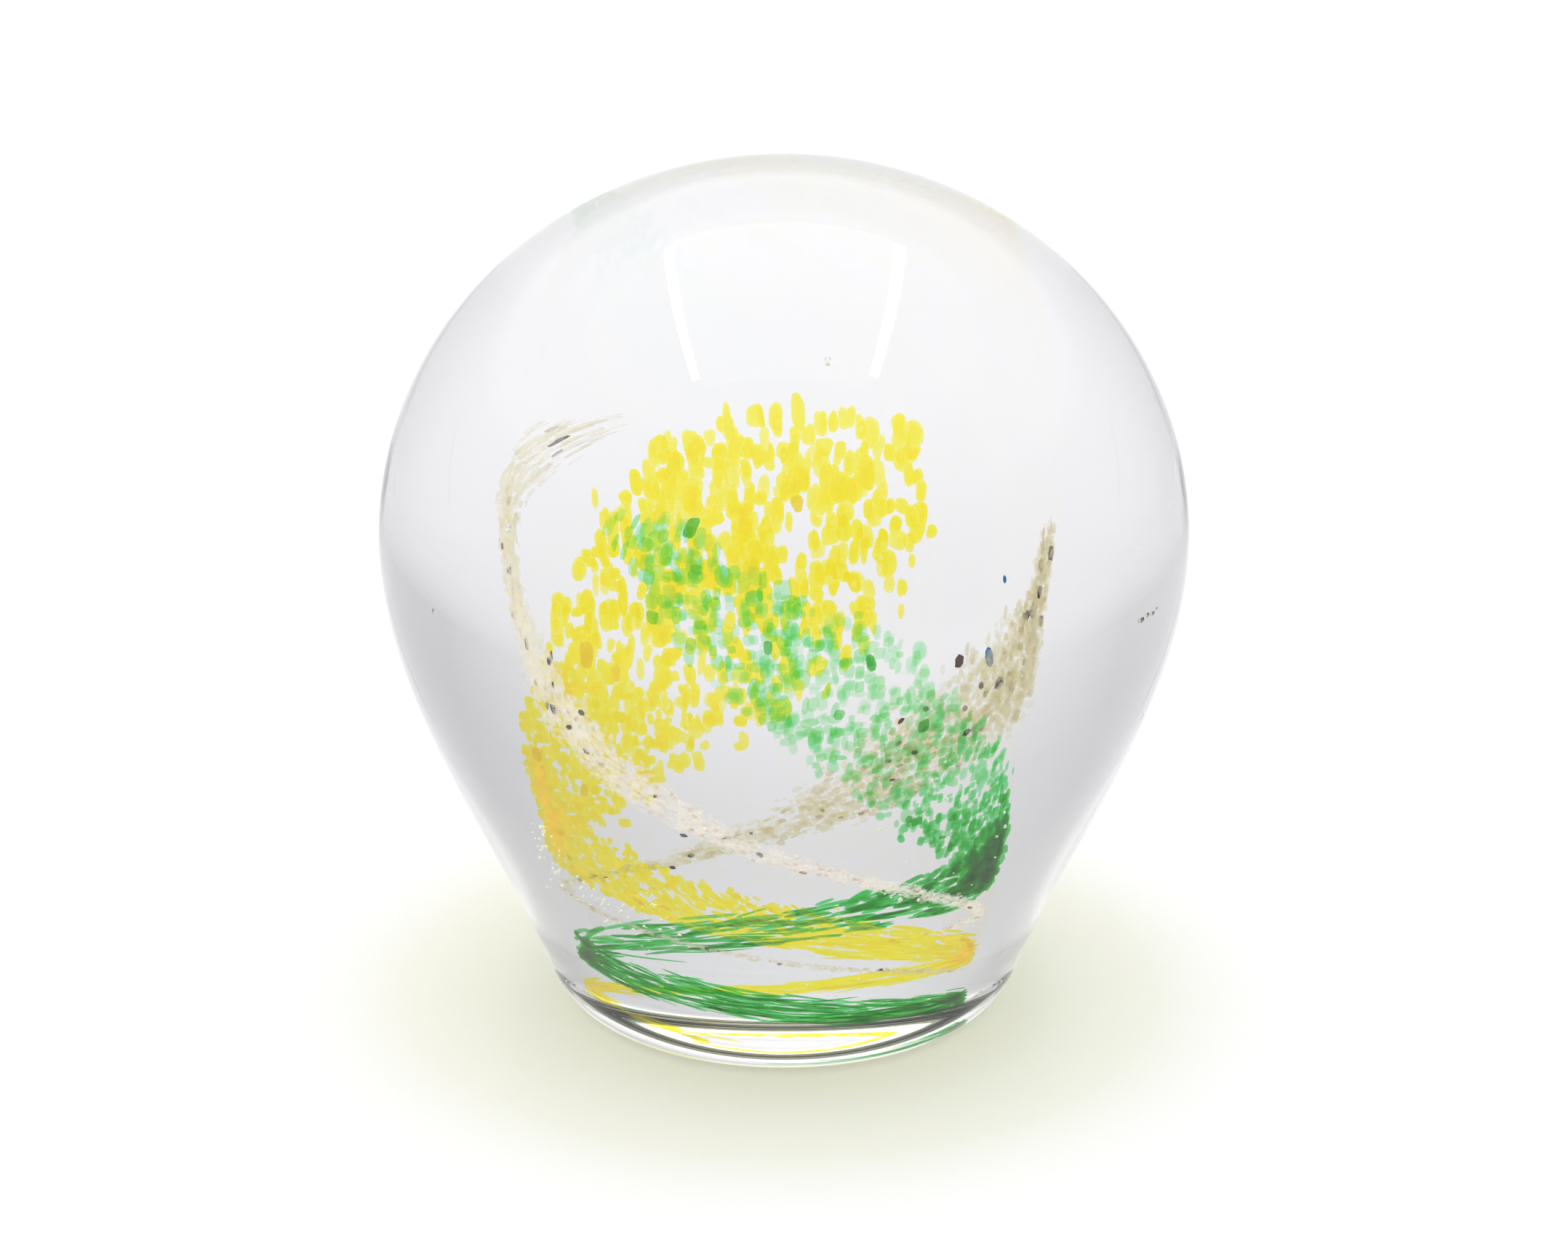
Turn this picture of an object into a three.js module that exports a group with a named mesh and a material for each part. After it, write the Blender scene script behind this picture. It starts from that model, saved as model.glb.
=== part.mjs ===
// A hand-made art-glass paperweight: a clear bulb of glass, ground flat underneath, with ribbons of crushed
// coloured glass wound round a clear core inside it. Millimetres, +Z up, origin at the centre of the ground
// base, front towards -Y.
//
// The core is the first gather of glass. It was rolled over stripes of crushed glass, twisted, and then cased
// in a second, thicker gather. Heat fuses it all on the real object. Here each gather and each ribbon is its
// own solid, with a small gap between neighbours.

import * as THREE from 'three';

// Driving dimensions

const bodyRadius = 39; // greatest radius of the bulb
const bodyHeight = 83.4;
const widestHeight = 47.3; // where the bulb is widest
const baseFlatRadius = 18.2; // the ground and polished flat
const baseEdgeRadius = 6.3; // rounding between the flat and the wall
const baseWallAngle = THREE.MathUtils.degToRad(70.5); // lean of the wall just above that rounding
const lowerHandle = 14.6; // how long the wall keeps that lean
const upperHandle = 15; // how long the wall stays upright below the widest point

const coreBaseRadius = 10.6;
const coreShoulderRadius = 17.4; // greatest radius of the core
const coreShoulderHeight = 48.4;
const coreHeight = 55.2;
const coreCrownHandle = 0.66; // squareness of the core's crown; 0.55 would be an ellipse
const coreOffset = -0.5; // the core sits a little to the left of the bulb's axis

const baseTwist = 695; // degrees the stripes have turned at the base
const twistFall = 16.1; // the height over which that turn falls to 1/e of itself

const gap = 0.3; // between solids that are fused on the real object
const ribbonThickness = 0.6;
const cavityClearance = 2 * gap + ribbonThickness; // between the core and the casing

const roundSteps = 54; // facets round each turned body
const ribbonSteps = 90; // facets along each ribbon

// The ribbons, from the base up. Each station is [height, angle, width]. The angle is the ribbon's middle in
// degrees from the front towards +X, before the twist is added; the width is in degrees round the core.
const ribbons = [
  {
    name: 'yellow_ribbon',
    color: 0xe6d21a,
    widthSteps: 5,
    stations: [
      [0.8, 92, 34], [3.5, 89, 34], [7.4, 87, 36], [10, 96, 42], [14, 116, 60],
      [19, 126, 72], [26, 122, 76], [37, 127, 72], [43, 135, 62], [47.2, 140, 40],
    ],
  },
  {
    name: 'green_ribbon',
    color: 0x1f9a45,
    widthSteps: 5,
    stations: [
      [0.8, 266, 64], [3.6, 266, 84], [6.5, 266, 102], [9.2, 263, 98], [12.5, 262, 66],
      [17.5, 275, 48], [23, 291, 56], [33, 317, 58], [44, 319, 50], [52, 298, 24],
    ],
  },
  {
    name: 'white_ribbon_left',
    color: 0xded6c8,
    widthSteps: 2,
    stations: [
      [13, 201, 6], [17.5, 208, 9], [22, 216, 12], [26, 217, 14], [30, 219, 19],
      [36, 222, 21], [44, 227, 9], [49.2, 236, 9], [53.4, 244, 9],
    ],
  },
  {
    name: 'white_ribbon_right',
    color: 0xcfc6b2,
    widthSteps: 2,
    stations: [
      [8.5, 38, 5], [11, 51, 7], [14, 53, 7], [17.5, 40, 8], [22, 28, 9],
      [26, 34, 18], [31.5, 47, 27], [36, 48, 26], [41.6, 56, 12], [46.2, 60, 6],
    ],
  },
];

// Outlines, each from low to high

function bodyOutline() {
  const edgeRadius = baseFlatRadius + baseEdgeRadius * Math.sin(baseWallAngle);
  const edgeHeight = baseEdgeRadius * (1 - Math.cos(baseWallAngle));
  const path = new THREE.Path();
  path.moveTo(baseFlatRadius, 0);
  path.absarc(baseFlatRadius, baseEdgeRadius, baseEdgeRadius, -Math.PI / 2, baseWallAngle - Math.PI / 2);
  path.bezierCurveTo(
    edgeRadius + lowerHandle * Math.cos(baseWallAngle),
    edgeHeight + lowerHandle * Math.sin(baseWallAngle),
    bodyRadius,
    widestHeight - upperHandle,
    bodyRadius,
    widestHeight,
  );
  path.absellipse(0, widestHeight, bodyRadius, bodyHeight - widestHeight, 0, Math.PI / 2);
  return path;
}

// The core's outline, or one that stands clear of it by the same distance everywhere.
function coreOutline(clearance = 0) {
  const shoulder = coreShoulderRadius + clearance;
  const top = coreHeight + clearance;
  const path = new THREE.Path();
  path.moveTo(coreBaseRadius + clearance, 0);
  path.bezierCurveTo(
    coreBaseRadius + clearance + 0.2,
    0.36 * coreShoulderHeight,
    shoulder - 0.8,
    0.82 * coreShoulderHeight,
    shoulder,
    coreShoulderHeight,
  );
  path.bezierCurveTo(
    shoulder,
    coreShoulderHeight + coreCrownHandle * (top - coreShoulderHeight),
    coreCrownHandle * shoulder,
    top,
    0,
    top,
  );
  return path;
}

// Distance from the core's axis to an outline at a height.
function radiusAt(outline, height) {
  const above = outline.findIndex((point) => point.y >= height);
  if (above <= 0) return outline[0].x;
  const low = outline[above - 1];
  const high = outline[above];
  return THREE.MathUtils.mapLinear(height, low.y, high.y, low.x, high.x);
}

// Solids

function glass(color, opacity = 1) {
  return new THREE.MeshStandardMaterial({
    color,
    roughness: opacity < 1 ? 0.05 : 0.3,
    metalness: 0,
    transparent: opacity < 1,
    opacity,
  });
}

function named(name, geometry, material) {
  const mesh = new THREE.Mesh(geometry, material);
  mesh.name = name;
  return mesh;
}

function turned(outline) {
  return new THREE.LatheGeometry(outline, roundSteps).rotateX(Math.PI / 2);
}

// The outer gather. Its cavity opens at the ground base and follows the core's off-centre axis.
function casing() {
  const cavity = coreOutline(cavityClearance).getPoints(10).reverse();
  const outline = [...cavity, ...bodyOutline().getPoints(7)];
  const geometry = turned(outline);
  const position = geometry.getAttribute('position');
  for (let i = 0; i < position.count; i++) {
    if (i % outline.length < cavity.length) position.setX(i, position.getX(i) + coreOffset);
  }
  return named('clear_casing', geometry, glass(0xf0f3f2, 0.3));
}

function core() {
  const outline = [new THREE.Vector2(0, 0), ...coreOutline().getPoints(10)];
  return named('clear_core', turned(outline), glass(0xeef2f1, 0.3));
}

function twistAt(height) {
  return baseTwist * Math.exp(-height / twistFall);
}

const liftedOutlines = new Map(); // outlines of the surfaces the ribbons lie between

// The point at an angle in degrees, a height, and a clearance off the core.
function offCore(angle, height, clearance) {
  if (!liftedOutlines.has(clearance)) liftedOutlines.set(clearance, coreOutline(clearance).getPoints(60));
  const turn = THREE.MathUtils.degToRad(angle);
  const radius = radiusAt(liftedOutlines.get(clearance), height);
  return new THREE.Vector3(radius * Math.sin(turn), -radius * Math.cos(turn), height);
}

// A unit slab bent round the core: its length follows the stations, its height becomes the ribbon's width
// round the core, and its depth is the ribbon's thickness.
function ribbon({ name, color, widthSteps, stations }) {
  const path = new THREE.CatmullRomCurve3(stations.map((station) => new THREE.Vector3(...station)));
  const slab = new THREE.BoxGeometry(1, 1, 1, ribbonSteps, widthSteps, 1);
  const position = slab.getAttribute('position');
  for (let i = 0; i < position.count; i++) {
    const { x: height, y: middle, z: width } = path.getPoint(position.getX(i) + 0.5);
    const angle = middle + twistAt(height) - position.getY(i) * width;
    const clearance = position.getZ(i) > 0 ? gap + ribbonThickness : gap;
    const point = offCore(angle, height, clearance);
    position.setXYZ(i, point.x, point.y, point.z);
  }
  return named(name, slab, glass(color));
}

// The paperweight

const inside = new THREE.Group(); // everything that shares the core's own axis
inside.position.x = coreOffset;
inside.add(core(), ...ribbons.map(ribbon));

const paperweight = new THREE.Group();
paperweight.add(casing(), inside);

export default paperweight;
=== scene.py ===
import bpy, bmesh, math
import numpy as np
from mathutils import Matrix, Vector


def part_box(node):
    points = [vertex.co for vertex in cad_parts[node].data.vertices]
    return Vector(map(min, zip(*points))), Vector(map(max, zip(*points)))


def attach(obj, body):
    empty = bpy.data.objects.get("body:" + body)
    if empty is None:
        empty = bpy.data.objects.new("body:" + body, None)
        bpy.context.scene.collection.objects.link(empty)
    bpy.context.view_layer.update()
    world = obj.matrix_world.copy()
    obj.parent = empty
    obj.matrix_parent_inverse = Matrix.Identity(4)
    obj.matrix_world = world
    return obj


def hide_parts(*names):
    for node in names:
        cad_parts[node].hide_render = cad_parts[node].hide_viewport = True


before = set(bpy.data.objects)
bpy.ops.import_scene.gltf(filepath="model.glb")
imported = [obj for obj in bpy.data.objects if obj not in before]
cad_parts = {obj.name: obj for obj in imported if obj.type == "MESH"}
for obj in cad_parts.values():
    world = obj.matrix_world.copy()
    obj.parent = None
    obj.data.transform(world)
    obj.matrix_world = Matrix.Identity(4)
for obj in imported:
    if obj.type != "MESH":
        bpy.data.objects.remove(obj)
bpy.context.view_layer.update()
scene = bpy.context.scene
mm = 0.001
print("frame loaded:", sorted(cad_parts))


# camera first, so a failed piece still leaves a view
cameraSetup = {
    "distance": 0.3198,  # from the point it looks at
    "pitch": math.radians(19.14),
    "targetHeight": 0.0375,
    "lens": 75.09,
}


def makeCamera(setup):
    data = bpy.data.cameras.new("camera")
    data.lens = setup["lens"]
    data.sensor_width = 36
    data.clip_start = 0.01
    data.clip_end = 50
    camera = bpy.data.objects.new("camera", data)
    scene.collection.objects.link(camera)
    away = setup["distance"]
    rise = away * math.sin(setup["pitch"])
    camera.location = (0, -away * math.cos(setup["pitch"]), setup["targetHeight"] + rise)
    camera.rotation_euler = (math.pi / 2 - setup["pitch"], 0, 0)
    scene.camera = camera


makeCamera(cameraSetup)
scene.view_settings.view_transform = "Standard"
scene.cycles.transparent_max_bounces = 64
scene.cycles.max_bounces = 96
scene.cycles.transmission_bounces = 80
scene.cycles.glossy_bounces = 8
print("camera placed")


# shader maths: a node output that can be added, multiplied and so on
class Socket:
    def __init__(self, net, out):
        self.net, self.out = net, out

    def calc(self, operation, *values):
        return self.net.node("ShaderNodeMath", {"operation": operation}, *values)

    def __add__(self, other):
        return self.calc("ADD", self, other)

    def __radd__(self, other):
        return self.calc("ADD", other, self)

    def __sub__(self, other):
        return self.calc("SUBTRACT", self, other)

    def __rsub__(self, other):
        return self.calc("SUBTRACT", other, self)

    def __mul__(self, other):
        return self.calc("MULTIPLY", self, other)

    def __rmul__(self, other):
        return self.calc("MULTIPLY", other, self)

    def __truediv__(self, other):
        return self.calc("DIVIDE", self, other)

    def __rtruediv__(self, other):
        return self.calc("DIVIDE", other, self)

    def root(self):
        return self.calc("SQRT", self)

    def size(self):
        return self.calc("ABSOLUTE", self)

    def over(self, low, high):
        # 0 below low, 1 above high
        return self.net.node("ShaderNodeMapRange", {"clamp": True}, self, low, high, 0.0, 1.0)


class Net:
    def __init__(self, owner):
        owner.use_nodes = True
        self.owner = owner
        self.tree = owner.node_tree
        self.tree.nodes.clear()
        self.place = 0

    def node(self, kind, settings=None, *values, out=0, **named):
        made = self.tree.nodes.new(kind)
        self.place += 1
        made.location = (-220 * (self.place % 8), -260 * (self.place // 8))
        for name, value in (settings or {}).items():
            if name == "stops":
                while len(made.color_ramp.elements) < len(value):
                    made.color_ramp.elements.new(0.5)
                for stop, (where, colour) in zip(made.color_ramp.elements, value):
                    stop.position, stop.color = where, (*colour, 1)[:4]
            else:
                setattr(made, name, value)
        named = {name.replace("_", " "): value for name, value in named.items()}
        for key, value in [*enumerate(values), *named.items()]:
            if value is None:
                continue
            target = made.inputs[key]
            if isinstance(value, Socket):
                self.tree.links.new(value.out, target)
            elif target.type == "RGBA":
                target.default_value = (*value, 1)[:4]
            else:
                target.default_value = value
        return Socket(self, made.outputs[out])

    def place3(self, scale=(1, 1, 1)):
        spot = self.node("ShaderNodeTexCoord", out="Object")
        return self.node("ShaderNodeMapping", {}, Vector=spot, Scale=scale)

    def noise(self, where, scale):
        # soft mottling, as big as one over the scale
        return self.node("ShaderNodeTexNoise", {}, Vector=where, Scale=scale, Detail=2.0)

    def mixColour(self, how, share, one, two):
        mixed = self.node("ShaderNodeMix", {"data_type": "RGBA", "blend_type": how}, out=2)
        inputs = mixed.out.node.inputs
        for target, value in ((inputs[0], share), (inputs[6], one), (inputs[7], two)):
            if isinstance(value, Socket):
                self.tree.links.new(value.out, target)
            else:
                target.default_value = (*value, 1) if isinstance(value, tuple) else value
        return mixed

    def finish(self, shader):
        world = isinstance(self.owner, bpy.types.World)
        self.end = self.tree.nodes.new("ShaderNodeOutputWorld" if world else "ShaderNodeOutputMaterial")
        self.tree.links.new(shader.out, self.end.inputs["Surface"])
        return self.owner

    def fill(self, colour, density):
        # what the inside soaks up
        inside = self.node("ShaderNodeVolumeAbsorption", {}, Color=colour, Density=density)
        self.tree.links.new(inside.out, self.end.inputs["Volume"])


# outlines, in metres, read from the frame's own boxes
caseLow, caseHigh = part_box("clear_casing")
coreLow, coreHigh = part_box("clear_core")
bodyRadius = (caseHigh.x - caseLow.x) / 2
bodyHeight = caseHigh.z - caseLow.z
coreRadius = (coreHigh.x - coreLow.x) / 2
coreAxis = (coreHigh.x + coreLow.x) / 2

bulb = {
    "widest": 0.567,  # share of the height where it is widest
    "flat": 0.505,  # radius of the ground flat, as a share of the greatest radius
    "edge": 0.085,  # tight rounding round the flat
    "edgeTurn": math.radians(50),  # how far it turns before the wider one takes over
    "heel": 0.2497,  # wider rounding up to the wall
    "wallAngle": math.radians(70.5),
    "lowerHandle": 0.3744,
    "upperHandle": 0.3846,
    "rings": 72,
    "edgeRings": 28,
    "around": 256,
    "index": 1.5,
    "tint": (0.945, 0.945, 0.95),
    "cordTint": (0.96, 0.96, 0.965),  # in the faint cords
    "depthColour": (0.9, 0.9, 0.91),  # what a long way through it takes out
    "depthDensity": 18,
    "cordScale": (60, 60, 9),  # the cords run up the bulb
    "waviness": 0.05,
    "waveDepth": 0.0006,
    "polishedBelow": (0.006, 0.016),  # the waves fade out down to the ground base
}


def bezier(a, b, c, d, count):
    t = np.linspace(0, 1, count + 1)[1:, None]
    a, b, c, d = map(np.array, (a, b, c, d))
    return (1 - t) ** 3 * a + 3 * (1 - t) ** 2 * t * b + 3 * (1 - t) * t ** 2 * c + t ** 3 * d


def bulbOutline(setup):
    widest = setup["widest"] * bodyHeight
    flat, lean = setup["flat"] * bodyRadius, setup["wallAngle"]
    rounding = np.array([[flat, 0]])
    for size, first, last in (("edge", 0, setup["edgeTurn"]), ("heel", setup["edgeTurn"], lean)):
        turn = np.linspace(first, last, setup["edgeRings"])[1:]
        step = np.stack([np.sin(turn) - math.sin(first), math.cos(first) - np.cos(turn)], 1)
        rounding = np.concatenate([rounding, rounding[-1] + setup[size] * bodyRadius * step])
    start = rounding[-1]
    low = start + setup["lowerHandle"] * bodyRadius * np.array([math.cos(lean), math.sin(lean)])
    high = (bodyRadius, widest - setup["upperHandle"] * bodyRadius)
    wall = bezier(start, low, high, (bodyRadius, widest), setup["rings"])
    up = np.linspace(0, math.pi / 2, setup["rings"] + 1)[1:]
    dome = np.stack([bodyRadius * np.cos(up), widest + (bodyHeight - widest) * np.sin(up)], 1)
    # two close rings by its rim keep the flat's shading flat
    ground = [(0, 0), (flat / 2, 0), (flat - 0.2 * mm, 0), (flat - 0.02 * mm, 0)]
    return np.concatenate([ground, rounding, wall, dome])


def revolve(name, outline, around):
    # outline runs from the axis at the bottom to the axis at the top
    bm = bmesh.new()
    bottom = bm.verts.new((outline[0][0], 0, outline[0][1]))
    top = bm.verts.new((0, 0, outline[-1][1]))
    rings = []
    for radius, height in outline[1:-1]:
        rings.append([bm.verts.new((radius * math.sin(a), -radius * math.cos(a), height))
                      for a in np.linspace(0, 2 * math.pi, around, endpoint=False)])
    for k in range(around):
        n = (k + 1) % around
        bm.faces.new((bottom, rings[0][n], rings[0][k]))
        bm.faces.new((top, rings[-1][k], rings[-1][n]))
        for low, high in zip(rings, rings[1:]):
            bm.faces.new((low[k], low[n], high[n], high[k]))
    bmesh.ops.recalc_face_normals(bm, faces=bm.faces)
    mesh = bpy.data.meshes.new(name)
    bm.to_mesh(mesh)
    bm.free()
    mesh.shade_smooth()
    piece = bpy.data.objects.new(name, mesh)
    scene.collection.objects.link(piece)
    return piece


def clearGlass():
    material = bpy.data.materials.new("clear glass")
    net = Net(material)
    cords = net.noise(net.place3(bulb["cordScale"]), 1.0)
    tint = net.mixColour("MIX", cords, bulb["tint"], bulb["cordTint"])
    spot = net.node("ShaderNodeTexCoord", out="Object")
    up = Socket(net, net.node("ShaderNodeSeparateXYZ", {}, spot).out.node.outputs["Z"])
    wave = (cords - 0.5) * up.over(*bulb["polishedBelow"])
    bump = net.node("ShaderNodeBump", {}, Strength=bulb["waviness"],
                    Distance=bulb["waveDepth"], Height=wave)
    glass = net.node("ShaderNodeBsdfPrincipled", {}, Base_Color=tint, Roughness=0.0,
                     IOR=bulb["index"], Normal=bump)
    glass.out.node.inputs["Transmission Weight"].default_value = 1.0
    net.finish(glass)
    net.fill(bulb["depthColour"], bulb["depthDensity"])
    return material


glassMaterial = clearGlass()
clearBulb = revolve("clear_bulb", bulbOutline(bulb), bulb["around"])
clearBulb.data.materials.append(glassMaterial)
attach(clearBulb, "root")
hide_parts("clear_casing", "clear_core")
print("clear bulb made")


# the twist that all the ribbons share, and the surface that they lie on
twist = {"atBase": 695, "fall": 16.1}  # degrees, millimetres


def turnAt(height):
    return twist["atBase"] * np.exp(-height / twist["fall"])


core = {
    # millimetres
    "foot": 10.6,  # radius at the base
    "footHandle": (0.2, 0.36),  # how far out, and what share of the shoulder's height
    "shoulder": 48.4,
    "shoulderHandle": (-0.8, 0.82),
    "rise": 55.2,
    "crown": 0.66,  # squareness of the top; 0.55 would be an ellipse
    "steps": 60,
}


def coreOutline(setup):
    # radius against height
    foot, shoulder, rise, crown = (setup[key] for key in ("foot", "shoulder", "rise", "crown"))
    radius = coreRadius / mm
    (footOut, footUp), (topOut, topUp) = setup["footHandle"], setup["shoulderHandle"]
    side = bezier((foot, 0), (foot + footOut, footUp * shoulder),
                  (radius + topOut, topUp * shoulder), (radius, shoulder), setup["steps"])
    top = bezier((radius, shoulder), (radius, shoulder + crown * (rise - shoulder)),
                 (crown * radius, rise), (0, rise), setup["steps"])
    return np.concatenate([[(foot, 0)], side, top])


coreCurve = coreOutline(core)


def coreRadiusAt(height):
    return np.interp(height, coreCurve[:, 1], coreCurve[:, 0])


def onCore(angle, height, lift):
    # degrees from the front towards +X, and millimetres, to a point in metres
    turn = np.radians(angle)
    radius = coreRadiusAt(height) + lift
    return np.stack([radius * np.sin(turn) * mm + coreAxis, -radius * np.cos(turn) * mm, height * mm], -1)


grainShape = {
    "kinds": 8,
    "lump": 0.1,
    "lumpPitch": 1.9,
    "boxy": 0.75,  # 1 is round, less is squarer
    "ovalShare": 0.785,  # of its box that a grain covers
    "spread": 0.28,  # of widths and lengths
    "thickSpread": 0.35,
    "sway": 0.12,  # radians either side of the ribbon's run
    "lifts": (0.2, 0.9),  # off the core, mm
    "lowest": 0.25,
}


def blobs(detail, rand):
    # a few lumpy closed shapes of unit radius that the grains are cut from
    bm = bmesh.new()
    bmesh.ops.create_icosphere(bm, subdivisions=detail, radius=1.0)
    points = np.array([v.co for v in bm.verts])
    faces = np.array([[v.index for v in f.verts] for f in bm.faces])
    bm.free()
    shapes = []
    lump, pitch = grainShape["lump"], grainShape["lumpPitch"]
    for _ in range(grainShape["kinds"]):
        axes = rand.normal(size=(3, 3))
        lumps = sum(lump * np.sin(points @ axis * pitch + rand.uniform(0, 6)) for axis in axes)
        boxy = np.sign(points) * np.abs(points) ** grainShape["boxy"]
        shapes.append(boxy * (1 + lumps)[:, None])
    return np.array(shapes), faces


def smooth(value, low, high):
    t = np.clip((value - low) / (high - low), 0, 1)
    return t * t * (3 - 2 * t)


def ribbonPath(stations):
    # height against middle and width of the ribbon
    table = np.array(stations, float)
    return lambda z: (np.interp(z, table[:, 0], table[:, 1]), np.interp(z, table[:, 0], table[:, 2]))


def scatter(setup):
    # places grains over one ribbon and returns their vertices, faces and numbers for the colour
    rand = np.random.default_rng(setup["seed"])
    path = ribbonPath(setup["stations"])
    low, high = setup["stations"][0][0], setup["stations"][-1][0]
    z = np.linspace(low, high, 400)
    middle, width = path(z)
    radius = coreRadiusAt(z)
    grainWidth = np.interp(z, *setup["grainWidth"])
    grainLength = np.interp(z, *setup["grainLength"])
    cover = np.interp(z, *setup["cover"])
    grainArea = grainWidth * grainLength * grainShape["ovalShare"]
    perHeight = cover * np.radians(width) * radius / grainArea
    total = np.concatenate([[0], np.cumsum((perHeight[1:] + perHeight[:-1]) / 2 * np.diff(z))])
    count = int(total[-1])
    height = np.interp(rand.uniform(0, total[-1], count), total, z)
    across = np.clip(rand.uniform(-0.5, 0.5, count) + rand.normal(0, setup["stray"], count), -0.75, 0.75)
    middle, width = path(height)
    angle = middle + turnAt(height) + across * width
    spread = grainShape["spread"]
    lift = rand.uniform(*grainShape["lifts"], count)
    wide = np.interp(height, *setup["grainWidth"]) * rand.lognormal(0, spread, count)
    long = np.interp(height, *setup["grainLength"]) * rand.lognormal(0, spread, count)
    slope = np.radians(turnAt(height) / twist["fall"]) * coreRadiusAt(height)
    follow = 1 - smooth(height, *setup["upright"])
    lean = np.arctan(slope * follow) + rand.normal(0, grainShape["sway"], count)
    shapes, faces = blobs(setup["detail"], rand)
    shape = shapes[rand.integers(0, len(shapes), count)]
    thick = np.interp(height, *setup["thickness"]) * rand.lognormal(0, grainShape["thickSpread"], count)
    u = shape[..., 0] * wide[:, None] / 2
    v = shape[..., 1] * long[:, None] / 2
    n = shape[..., 2] * thick[:, None] / 2
    side = v * np.sin(lean)[:, None] - u * np.cos(lean)[:, None]
    rise = -v * np.cos(lean)[:, None] - u * np.sin(lean)[:, None]
    z = np.clip(height[:, None] + rise, grainShape["lowest"], None)
    around = angle[:, None] + np.degrees(side / coreRadiusAt(z))
    points = onCore(around, z, lift[:, None] + n)
    tone = rand.uniform(0, 1, count)
    deep = 1 - smooth(height, *setup["fades"])
    return points, faces, {"tone": tone, "deep": deep}


def grainMesh(name, setup, material):
    points, faces, layers = scatter(setup)
    count, each = points.shape[:2]
    allFaces = (faces[None] + np.arange(count)[:, None, None] * each).reshape(-1, 3)
    mesh = bpy.data.meshes.new(name)
    mesh.from_pydata(points.reshape(-1, 3), [], allFaces)
    for key, values in layers.items():
        layer = mesh.attributes.new(key, "FLOAT", "POINT")
        layer.data.foreach_set("value", np.repeat(values, each).astype(np.float32))
    mesh.shade_smooth()
    mesh.materials.append(material)
    piece = bpy.data.objects.new(name, mesh)
    scene.collection.objects.link(piece)
    print(name, count, "grains,", len(allFaces), "faces")
    return piece


def fritGlass(name, setup):
    # the same index as the glass around it, so light goes straight on and only takes colour
    net = Net(bpy.data.materials.new(name))
    tone = net.node("ShaderNodeAttribute", {"attribute_name": "tone"}, out="Fac")
    deep = net.node("ShaderNodeAttribute", {"attribute_name": "deep"}, out="Fac")
    mottle = net.noise(net.place3(), setup["mottleScale"]).over(0.35, 0.65)
    odd = tone.over(setup["oddShare"], setup["oddShare"] + 0.01)
    high = net.node("ShaderNodeValToRGB", {"stops": setup["highTints"]}, tone)
    low = net.node("ShaderNodeValToRGB", {"stops": setup["lowTints"]}, tone)
    tint = net.mixColour("MIX", deep, high, low)
    tint = net.mixColour("MIX", mottle * setup["fading"], tint, setup["paleTint"])
    tint = net.mixColour("MIX", odd, tint, setup["oddTint"])
    frit = net.node("ShaderNodeBsdfPrincipled", {}, Base_Color=tint, Roughness=0.0, IOR=1.0)
    frit.out.node.inputs["Transmission Weight"].default_value = setup["clarity"]
    # painted glow: a faint white emission brightens the grains, standing in for light scattered in the frit
    frit.out.node.inputs["Emission Strength"].default_value = setup["glow"]
    net.finish(frit)
    net.fill(setup["colour"], setup["density"])
    return net.owner


# Heights, widths, lengths and thicknesses are in mm, angles in degrees.
# stations: height, angle and width of the ribbon, from the base up; the paired lists run height against value
# upright: grains follow the twist below the first height and stand up by the second
# fades: the low tints give way to the high ones between these heights
# stray: how far grains scatter past the ribbon's sides; cover: how many deep they lie
# colour, density: what the inside lets through, and how fast it soaks up the rest
# glow: a painted glow, a faint emission that brightens the grains
yellowFrit = {
    "seed": 3, "upright": (13, 25), "fades": (12, 24), "stray": 0.05, "detail": 2,
    "stations": [(2.4, 90, 30), (3.5, 89, 34), (7.4, 87, 36), (10, 96, 42), (14, 116, 60),
                 (19, 126, 72), (26, 122, 76), (37, 127, 72), (43, 135, 62), (47.2, 140, 40)],
    "grainWidth": ([2, 12, 20, 30, 45], [0.2, 0.22, 0.4, 0.48, 0.68]),
    "grainLength": ([2, 12, 16, 20, 30, 45], [4.0, 3.0, 1.8, 0.7, 0.62, 1.1]),
    "thickness": ([2, 14, 20, 30, 45], [0.28, 0.28, 0.3, 0.34, 0.42]),
    "cover": ([2.4, 4, 12, 20, 30, 45], [1.2, 2.6, 2.5, 1.6, 1.0, 1.25]),
    "colour": (1.0, 0.97, 0.0), "density": 5200, "clarity": 0.97, "glow": 0.015,
    "highTints": [(0.0, (1.0, 0.99, 0.85)), (0.5, (1.0, 0.98, 0.5)), (1.0, (0.99, 0.95, 0.2))],
    "lowTints": [(0.0, (1.0, 1.0, 0.55)), (0.6, (1.0, 0.99, 0.25)), (1.0, (0.98, 0.92, 0.08))],
    "mottleScale": 900, "fading": 0.3, "paleTint": (1.0, 1.0, 0.8),
    "oddShare": 0.985, "oddTint": (0.92, 0.76, 0.2),
}
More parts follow.
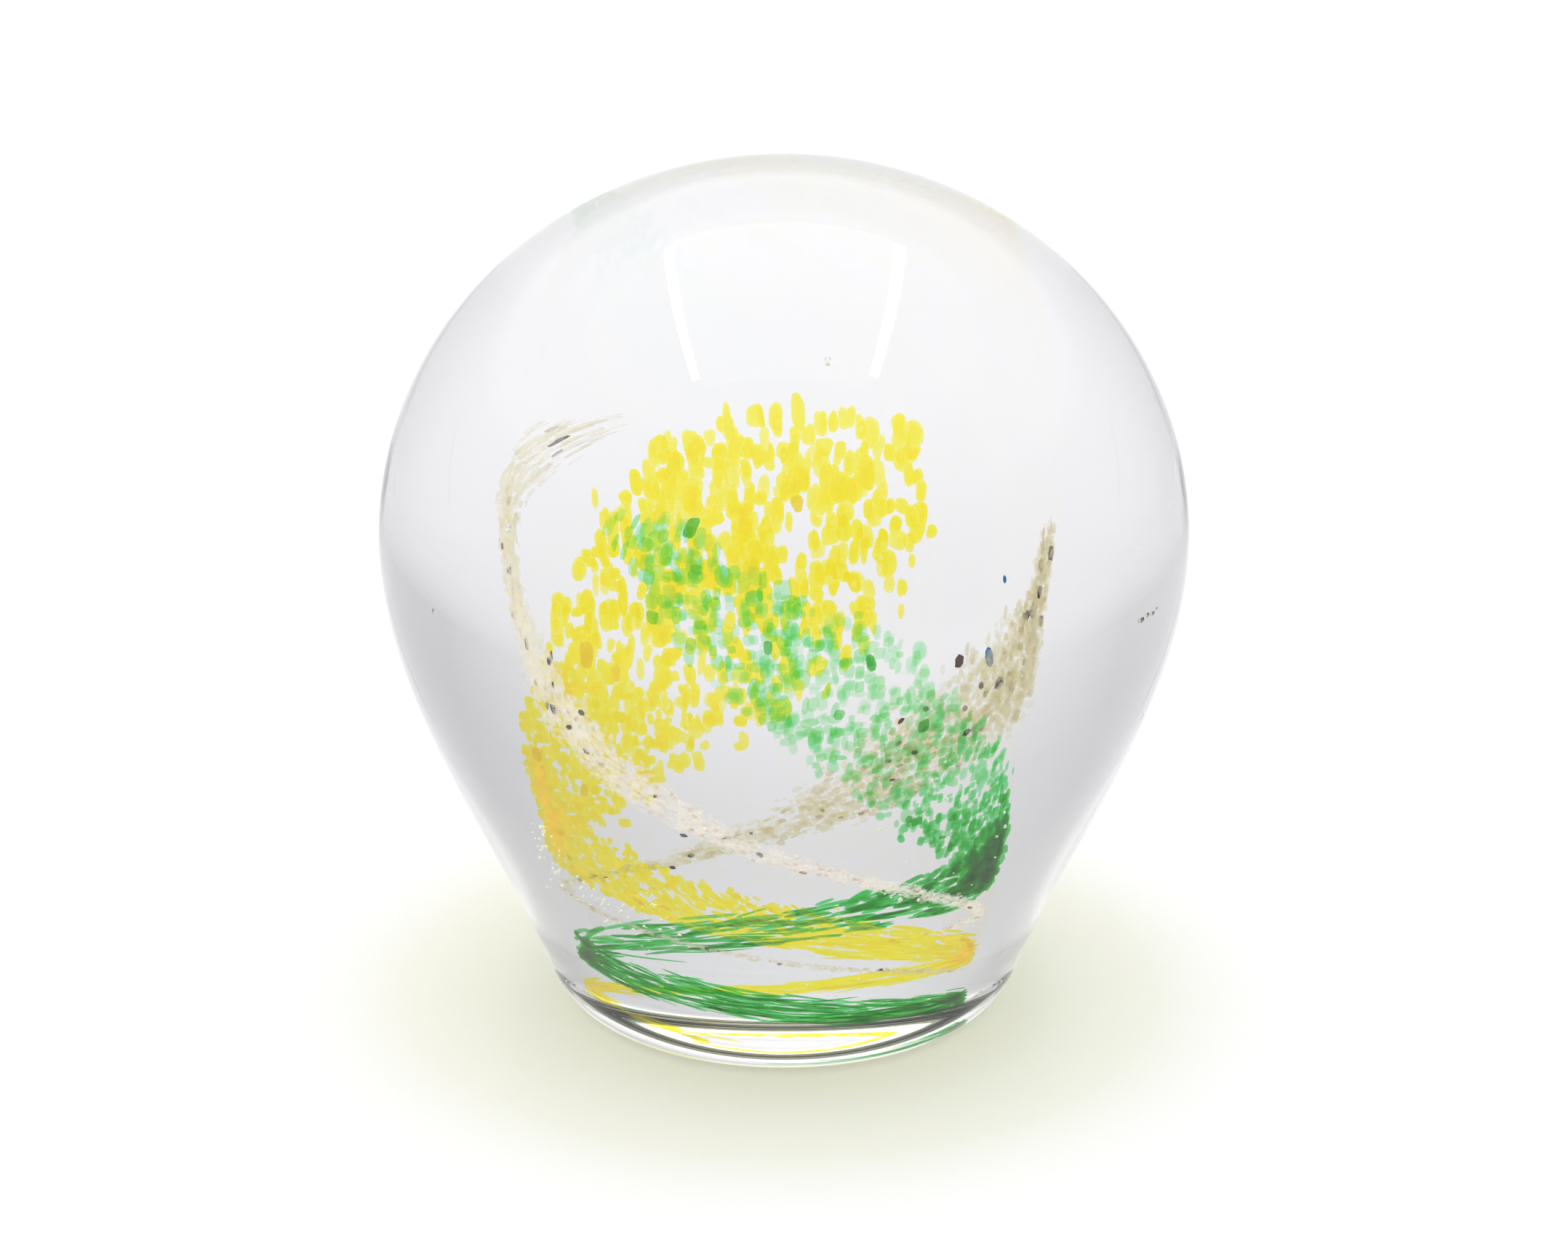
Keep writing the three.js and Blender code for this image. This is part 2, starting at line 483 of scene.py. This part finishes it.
greenFrit = {
    "seed": 5, "upright": (13, 25), "fades": (16, 34), "stray": 0.06, "detail": 2,
    "stations": [(2.2, 266, 60), (3.6, 266, 80), (6.5, 266, 102), (9.2, 263, 98), (12.5, 262, 66),
                 (17.5, 275, 48), (23, 291, 56), (33, 317, 58), (44, 319, 50), (52, 298, 24)],
    "grainWidth": ([2, 12, 20, 30, 45], [0.18, 0.24, 0.4, 0.6, 0.85]),
    "grainLength": ([2, 12, 20, 30, 45], [4.6, 3.0, 1.1, 0.8, 1.05]),
    "thickness": ([2, 12, 16, 22, 32, 45], [0.28, 0.34, 0.46, 0.36, 0.1, 0.07]),
    "cover": ([2.2, 4, 9, 11, 14, 17, 20, 30, 45], [1.0, 2.2, 2.0, 1.0, 0.9, 1.8, 1.8, 1.3, 1.3]),
    "colour": (0.06, 0.9, 0.36), "density": 3900, "clarity": 0.97, "glow": 0.0,
    "highTints": [(0.0, (0.94, 1.0, 0.93)), (0.6, (0.82, 0.98, 0.78)), (1.0, (0.6, 0.92, 0.55))],
    "lowTints": [(0.0, (0.66, 0.92, 0.66)), (0.5, (0.34, 0.80, 0.38)), (1.0, (0.10, 0.55, 0.14))],
    "mottleScale": 900, "fading": 0.35, "paleTint": (0.97, 1.0, 0.97),
    "oddShare": 0.985, "oddTint": (0.24, 0.64, 0.22),
}
whiteLeftFrit = {
    "seed": 7, "upright": (28, 40), "fades": (25, 45), "stray": 0.14, "detail": 1,
    "stations": [(13, 201, 9), (17.5, 208, 11), (22, 216, 13), (26, 217, 15), (30, 219, 19),
                 (36, 222, 21), (44, 227, 12), (49.2, 237, 16), (52.6, 243, 22), (54.2, 250, 16)],
    "grainWidth": ([10, 50], [0.26, 0.34]),
    "grainLength": ([10, 50], [0.36, 0.6]),
    "thickness": ([10, 50], [0.26, 0.26]),
    "cover": ([10, 30, 44, 54], [2.8, 3.0, 2.2, 1.2]),
    "colour": (0.96, 0.92, 0.78), "density": 260, "clarity": 0.82, "glow": 0.045,
    "highTints": [(0.0, (1.0, 0.985, 0.93)), (0.9, (0.97, 0.95, 0.86)), (1.0, (0.88, 0.82, 0.68))],
    "lowTints": [(0.0, (1.0, 0.985, 0.965)), (0.9, (0.98, 0.955, 0.925)), (1.0, (0.82, 0.68, 0.52))],
    "mottleScale": 1600, "fading": 0.3, "paleTint": (1.0, 1.0, 0.99),
    "oddShare": 0.985, "oddTint": (0.10, 0.06, 0.04),
}
whiteRightFrit = {
    **whiteLeftFrit,
    "clarity": 0.9,
    "glow": 0.01,
    "seed": 11, "fades": (16, 24),
    "stations": [(8.5, 38, 10), (11, 51, 11), (14, 53, 10), (17.5, 40, 9), (22, 28, 10),
                 (26, 34, 18), (31.5, 47, 27), (36, 48, 26), (41.6, 56, 12), (46.2, 60, 6)],
    "highTints": [(0.0, (1.0, 0.99, 0.92)), (0.85, (0.98, 0.955, 0.85)), (1.0, (0.84, 0.77, 0.6))],
    "lowTints": [(0.0, (1.0, 0.995, 0.96)), (0.9, (0.985, 0.97, 0.91)), (1.0, (0.74, 0.66, 0.5))],
}

for name, node, slot, setup in (
    ("yellow_frit", "yellow_ribbon", "yellow_frit", yellowFrit),
    ("green_frit", "green_ribbon", "green_frit", greenFrit),
    ("white_frit_left", "white_ribbon_left", "white_frit", whiteLeftFrit),
    ("white_frit_right", "white_ribbon_right", "grey_frit", whiteRightFrit),
):
    piece = grainMesh(name, setup, fritGlass(name.replace("_", " "), setup))
    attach(piece, "root")
    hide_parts(node)
print("frit laid")


# seed bubbles, a stray blue grain and a bright flaw under the skin
seeds = {
    "seed": 21,
    # how many, between which angles (degrees), heights and lifts off the core (mm), and radii (mm)
    "drifts": [
        (46, (-104, -84), (18, 25.5), (0.9, 2.0), (0.06, 0.2)),
        (60, (-84, -30), (15.5, 21), (0.7, 1.2), (0.06, 0.22)),
        (30, (-80, 60), (8, 14), (0.7, 1.2), (0.05, 0.14)),
        (26, (20, 90), (14, 44), (0.8, 1.3), (0.06, 0.15)),
    ],
    # single ones: across, along and up in mm, and radius
    "singles": [(3.2, -8, 62, 0.3), (29, -6, 33, 0.42), (-27, -10, 44, 0.2), (17, -14, 27, 0.16),
                (9, -16, 20.5, 0.2), (10.5, -16, 20.2, 0.16), (-20, -9, 50, 0.24), (-5.5, -9, 27.5, 0.3)],
    "stretch": 1.35,
}


def addBall(bm, centre, radius, scale):
    made = bmesh.ops.create_icosphere(bm, subdivisions=2, radius=radius)
    bmesh.ops.scale(bm, vec=scale, verts=made["verts"])
    bmesh.ops.translate(bm, vec=centre, verts=made["verts"])


def addPiece(name, bm, material):
    mesh = bpy.data.meshes.new(name)
    bm.to_mesh(mesh)
    bm.free()
    mesh.shade_smooth()
    mesh.materials.append(material)
    piece = bpy.data.objects.new(name, mesh)
    scene.collection.objects.link(piece)
    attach(piece, "root")


airSetup = {
    "index": 1 / 1.5,  # seen from the glass side, air is the thinner of the two
    "rippleScale": 900.0,
    "ripple": 0.1,
    "rippleDepth": 0.0001,
}


def bubbleGlass(setup):
    net = Net(bpy.data.materials.new("air in glass"))
    grain = net.noise(net.place3(), setup["rippleScale"])
    bump = net.node("ShaderNodeBump", {}, Strength=setup["ripple"],
                    Distance=setup["rippleDepth"], Height=grain)
    air = net.node("ShaderNodeBsdfGlass", {}, Color=(1.0, 1.0, 1.0), Roughness=0.0,
                   IOR=setup["index"], Normal=bump)
    net.finish(air)
    return net.owner


def makeBubbles(setup):
    rand = np.random.default_rng(setup["seed"])
    bm = bmesh.new()
    for count, angles, heights, lifts, radii in setup["drifts"]:
        for _ in range(count):
            height = rand.uniform(*heights)
            centre = onCore(rand.uniform(*angles), height, rand.uniform(*lifts))
            radius = radii[0] + (radii[1] - radii[0]) * rand.uniform() ** 2
            addBall(bm, centre, radius * mm, (1, 1, rand.uniform(0.8, setup["stretch"])))
    for across, along, up, radius in setup["singles"]:
        addBall(bm, (across * mm, along * mm, up * mm), radius * mm, (1, 1, setup["stretch"]))
    addPiece("seed_bubbles", bm, bubbleGlass(airSetup))


# a stretched, broken sliver of air just under the right side
flaw = {
    "angle": 62,  # degrees from the front towards +X
    "radius": 34.2,
    "height": 44.5,
    # each bead's place along the sliver, rise and radius, mm
    "beads": [(0, 0, 0.32), (0.9, 0.1, 0.22), (1.7, -0.05, 0.26), (2.4, 0.12, 0.14)],
    "pitch": 2.2,  # degrees for each step along it
    "wide": 1.8,
    "tall": (0.8, 1.0),
}


def makeFlaw(setup):
    bm = bmesh.new()
    away = setup["radius"] * mm
    for k, (out, up, size) in enumerate(setup["beads"]):
        turn = math.radians(setup["angle"] + out * setup["pitch"])
        spot = (away * math.sin(turn), -away * math.cos(turn), (setup["height"] + up) * mm)
        addBall(bm, spot, size * mm, (setup["wide"], setup["wide"], setup["tall"][k % 2]))
    addPiece("glass_flaw", bm, bpy.data.materials["air in glass"])


blueGrain = {
    "bits": [(132, 36.5, 0.32), (129, 40.6, 0.14)],  # angle, height and radius of each
    "lift": 0.8,
    "stretch": (0.7, 0.6, 1.6),
    "dark": (0.02, 0.05, 0.45),
    "light": (0.1, 0.45, 0.8),
    "mottleScale": 2500.0,
    "clarity": 0.6,
}


def makeBlueGrain(setup):
    net = Net(bpy.data.materials.new("blue grain"))
    mottle = net.noise(net.place3(), setup["mottleScale"])
    tint = net.mixColour("MIX", mottle, setup["dark"], setup["light"])
    grain = net.node("ShaderNodeBsdfPrincipled", {}, Base_Color=tint, Roughness=0.2, IOR=1.0)
    grain.out.node.inputs["Transmission Weight"].default_value = setup["clarity"]
    net.finish(grain)
    bm = bmesh.new()
    for angle, height, size in setup["bits"]:
        addBall(bm, onCore(angle, height, setup["lift"]), size * mm, setup["stretch"])
    addPiece("blue_grain", bm, net.owner)


makeBubbles(seeds)
makeFlaw(flaw)
makeBlueGrain(blueGrain)
print("bubbles, flaw and blue grain made")


# floor, and the soft surroundings of a light tent
floorSetup = {
    "radius": 0.5,
    # colour against distance from the middle: a painted creamy caustic glow close in, paler, then painted
    # shade dimmer far off
    "paintedGlowAndShade": [(0.0, (0.97, 0.97, 0.86)), (0.07, (0.97, 0.97, 0.86)), (0.11, (0.95,) * 3),
              (0.2, (0.93,) * 3), (0.35, (0.86,) * 3), (1.0, (0.75,) * 3)],
    "pool": (0.02, 0.045),  # the light gathered under the glass fades out between these
    "poolShare": 0.8,
    "gathered": (1.0, 1.0, 0.94),
    "gatheredGlow": 0.97,
    "goneFrom": 0.15,  # past here it melts into the wall of the tent
    "goneTo": 0.4,
    "whiteFrom": 0.038,  # past here the camera sees it as plain white paper
    "whiteTo": 0.056,
    "whiteGlow": 1.03,
    "below": 0.2 * mm,  # clear of the ground base
}
tent = {
    "ceiling": 0.45,
    # brightness against the sine of the height above the horizon, at the sides
    "rise": [(-0.35, 0.98), (-0.2, 0.86), (-0.1, 0.76), (0.0, 0.69), (0.08, 0.64), (0.22, 0.60),
             (0.34, 0.66), (0.45, 1.1), (0.71, 1.15), (0.75, 1.35), (1.0, 1.35)],
    "behind": 0.3,  # how much brighter the wall behind is than the sides
    "seam": 0.5,  # how dark the sloping seam in each side is
    "seamLine": (0.28, 0.9),  # where it meets the horizon, and its slope
    "seamWidth": (0.006, 0.016),
    "seamFoot": (0.02, 0.04),
    "seamTop": (0.2, 0.26),
    "front": 0.75,  # how much is left of that brightness at the open front
    "lean": -0.07,  # how the light changes from the middle to the right
    "hue": (0.985, 0.985, 1.0),
    "wallGlow": 1.03,  # what the camera sees past the floor
}
lamps = {
    "softbox": {"place": (0.0, 0.045), "size": (0.3, 0.44), "power": 0.16},
    "left strip": {"place": (-0.155, 0.045), "size": (0.024, 0.4), "power": 0.085},
    "right strip": {"place": (0.158, 0.055), "size": (0.024, 0.4), "power": 0.085},
    "middle strip": {"place": (-0.006, -0.1), "size": (0.004, 0.16), "power": 0.002},
    "middle strip two": {"place": (0.006, -0.1), "size": (0.004, 0.16), "power": 0.002},
}


def makeFloor(setup):
    bm = bmesh.new()
    bmesh.ops.create_circle(bm, cap_ends=True, segments=96, radius=setup["radius"])
    mesh = bpy.data.meshes.new("floor")
    bm.to_mesh(mesh)
    bm.free()
    floor = bpy.data.objects.new("floor", mesh)
    scene.collection.objects.link(floor)
    net = Net(bpy.data.materials.new("pale floor"))
    away = net.node("ShaderNodeVectorMath", {"operation": "LENGTH"}, net.place3(), out="Value")
    # the floor's colour carries painted light: a creamy caustic glow by the glass and painted shade further
    # out
    paintedGlowAndShade = net.node("ShaderNodeValToRGB", {"stops": setup["paintedGlowAndShade"]}, away.over(0.0, setup["radius"]))
    paper = net.node("ShaderNodeBsdfPrincipled", {}, Base_Color=paintedGlowAndShade, Roughness=0.8)
    gone = net.node("ShaderNodeBsdfTransparent")
    paper = net.node("ShaderNodeMixShader", {}, away.over(setup["goneFrom"], setup["goneTo"]), paper, gone)
    # light that the glass gathers on the paper below it, seen only through the glass
    gathered = net.node("ShaderNodeEmission", {}, setup["gathered"], setup["gatheredGlow"])
    seen = net.node("ShaderNodeLightPath", out="Is Camera Ray")
    pool = (1 - away.over(*setup["pool"])) * (1 - seen) * setup["poolShare"]
    paper = net.node("ShaderNodeMixShader", {}, pool, paper, gathered)
    white = net.node("ShaderNodeEmission", {}, (1.0, 1.0, 1.0), setup["whiteGlow"])
    fade = away.over(setup["whiteFrom"], setup["whiteTo"])
    net.finish(net.node("ShaderNodeMixShader", {}, seen * fade, paper, white))
    mesh.materials.append(net.owner)
    floor.location.z = -setup["below"]


def makeSurround(setup):
    net = Net(bpy.data.worlds.new("light tent"))
    scene.world = net.owner
    way = net.node("ShaderNodeTexCoord", out="Generated")
    split = net.node("ShaderNodeSeparateXYZ", {}, way)
    across, along, up = (Socket(net, split.out.node.outputs[k]) for k in range(3))
    low, high = setup["rise"][0][0], setup["rise"][-1][0]
    stops = [((z - low) / (high - low), (bright,) * 3) for z, bright in setup["rise"]]
    bright = net.node("ShaderNodeValToRGB", {"stops": stops}, up.over(low, high))
    level = (across * across + along * along + 0.0001).root()
    facing = along / level
    behind = facing.over(0.74, 1.0) * (1 - up.over(0.3, 0.6)) * setup["behind"] + 1
    front = 1 - (1 - facing.over(-0.6, 0.2)) * (1 - up.over(0.5, 0.8)) * (1 - setup["front"])
    lean = across * setup["lean"] + 1
    seamStart, seamSlope = setup["seamLine"]
    off = (along - (up * seamSlope + seamStart)).size()
    reach = up.over(*setup["seamFoot"]) * (1 - up.over(*setup["seamTop"]))
    seam = (1 - off.over(*setup["seamWidth"])) * reach
    lean = lean * (1 - seam * setup["seam"])
    hue = net.mixColour("MULTIPLY", 1.0, bright, setup["hue"])
    tentGlow = net.node("ShaderNodeBackground", {}, hue, behind * front * lean)
    plain = net.node("ShaderNodeBackground", {}, (1.0, 1.0, 1.0), setup["wallGlow"])
    seen = net.node("ShaderNodeLightPath", out="Is Camera Ray")
    net.finish(net.node("ShaderNodeMixShader", {}, seen, tentGlow, plain))


def lampAbove(name, setup):
    data = bpy.data.lights.new(name, "AREA")
    data.shape = "RECTANGLE"
    data.size, data.size_y = setup["size"]
    data.energy = setup["power"]
    lamp = bpy.data.objects.new(name, data)
    scene.collection.objects.link(lamp)
    lamp.location = (*setup["place"], tent["ceiling"])
    lamp.visible_camera = False


makeFloor(floorSetup)
makeSurround(tent)
for name, setup in lamps.items():
    lampAbove(name, setup)
print("floor and light made")
